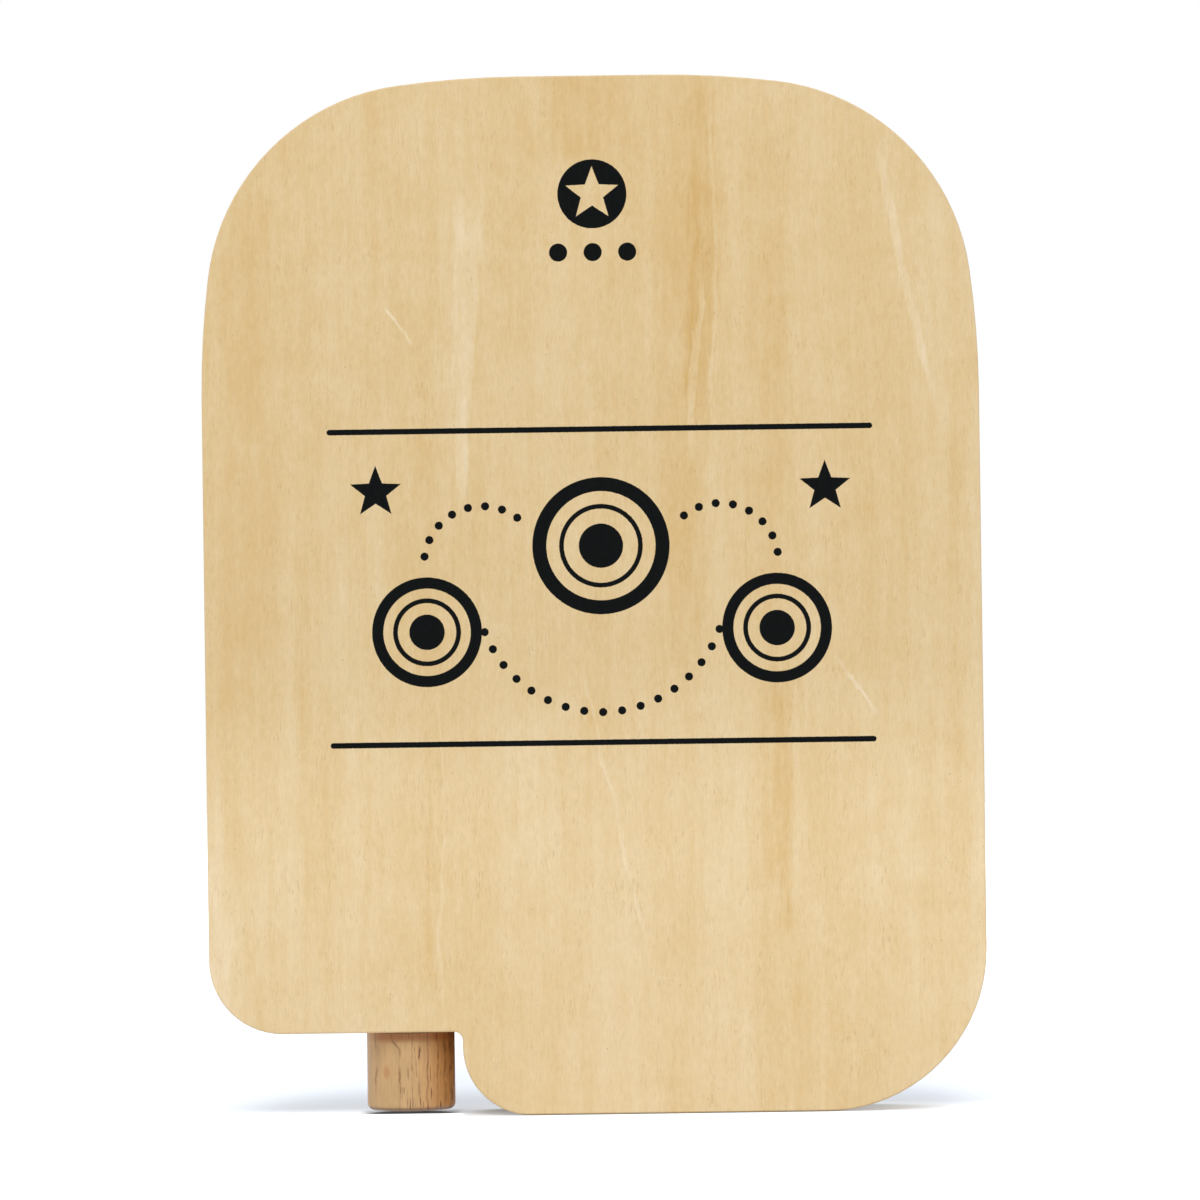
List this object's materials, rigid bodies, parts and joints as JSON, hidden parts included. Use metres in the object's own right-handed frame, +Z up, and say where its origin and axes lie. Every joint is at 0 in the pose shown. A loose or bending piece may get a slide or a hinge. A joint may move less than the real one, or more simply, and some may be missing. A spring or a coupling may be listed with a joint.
{
  "type": "tabletop pinball game",
  "caption": "Slim wooden tabletop pinball case with a spring plunger, lever-worked flippers, bumpers, score cups and steel balls behind a clear front.",
  "frame": {"origin": "on the surface that the game stands on, in the middle of its width and of its depth from the back panel to the front of the levers", "axes": "+Z up, +Y from the back panel to the clear front, +X to the right seen from behind"},
  "size_m": [0.18, 0.0274, 0.2405],
  "materials": {
    "panel": "clear matt, fine vertical grain",
    "frame_wood": "sanded, clear matt",
    "playfield": "painted board with a printed pattern",
    "cover": "clear sheet",
    "trim": "plywood, clear matt",
    "steel": "plated",
    "spring_steel": "bright wire",
    "ball_steel": "polished",
    "beech": "turned beech, oiled",
    "beech_knob": "turned beech with dark flecks",
    "brass": "domed and polished",
    "red_wood": "painted satin",
    "yellow_wood": "painted satin",
    "blue_wood": "painted satin",
    "rubber": "matt black"
  },
  "bodies": {
    "case": {"back_panel": "panel", "frame": "frame_wood", "rod_block": "beech", "playfield": "playfield", "cover": "cover", "bezel": "trim", "bezel_screws": "steel", "lane_rail_inner": "beech", "lane_rail_outer": "beech", "plunger_guide": "beech", "spring_washer": "steel", "plunger_spring": "spring_steel", "stop_pins": "steel", "slope_left": "beech", "slope_right": "beech", "field_pins": "brass", "bumper_upper_left": "red_wood", "bumper_upper_right": "yellow_wood", "bumper_lower": "blue_wood", "bumper_rings": "rubber", "bumper_nails": "brass", "score_cup_left": "yellow_wood", "score_cup_right": "yellow_wood", "score_cup_middle": "red_wood"},
    "plunger": {"plunger_knob": "beech_knob", "plunger_rod": "beech", "plunger_collar": "beech", "collar_pin": "brass"},
    "left_flipper": {"flipper_left": "red_wood", "flipper_axle_left": "beech", "thumb_lever_left": "red_wood"},
    "right_flipper": {"flipper_right": "red_wood", "flipper_axle_right": "beech", "thumb_lever_right": "red_wood"},
    "launch_ball": {"ball_launch": "ball_steel"},
    "tray_ball_1": {"ball_tray_1": "ball_steel"},
    "tray_ball_2": {"ball_tray_2": "ball_steel"},
    "tray_ball_3": {"ball_tray_3": "ball_steel"},
    "tray_ball_4": {"ball_tray_4": "ball_steel"}
  },
  "joints": [
    {"name": "plunger_slide", "type": "slide", "parent": "case", "child": "plunger", "axis": [0, 0, -1], "range_m": [0, 0.018], "stiffness_N_per_m": 300, "springref_m": -0.012, "deforming": ["plunger_spring"]},
    {"name": "left_flipper_hinge", "type": "hinge", "parent": "case", "child": "left_flipper", "pos_m": [0.05635, 0, 0.054], "axis": [0, 1, 0], "range_deg": [0, 50]},
    {"name": "right_flipper_hinge", "type": "hinge", "parent": "case", "child": "right_flipper", "pos_m": [-0.00965, 0, 0.054], "axis": [0, -1, 0], "range_deg": [0, 50]},
    {"name": "launch_ball_run", "type": "slide", "parent": "plunger", "child": "launch_ball", "axis": [0, 0, 1], "range_m": [0, 0.125]},
    {"name": "tray_ball_1_lift", "type": "slide", "parent": "case", "child": "tray_ball_1", "axis": [0, 0, 1], "range_m": [0, 0.015]},
    {"name": "tray_ball_2_lift", "type": "slide", "parent": "case", "child": "tray_ball_2", "axis": [0, 0, 1], "range_m": [0, 0.015]},
    {"name": "tray_ball_3_lift", "type": "slide", "parent": "case", "child": "tray_ball_3", "axis": [0, 0, 1], "range_m": [0, 0.015]},
    {"name": "tray_ball_4_lift", "type": "slide", "parent": "case", "child": "tray_ball_4", "axis": [0, 0, 1], "range_m": [0, 0.015]}
  ]
}
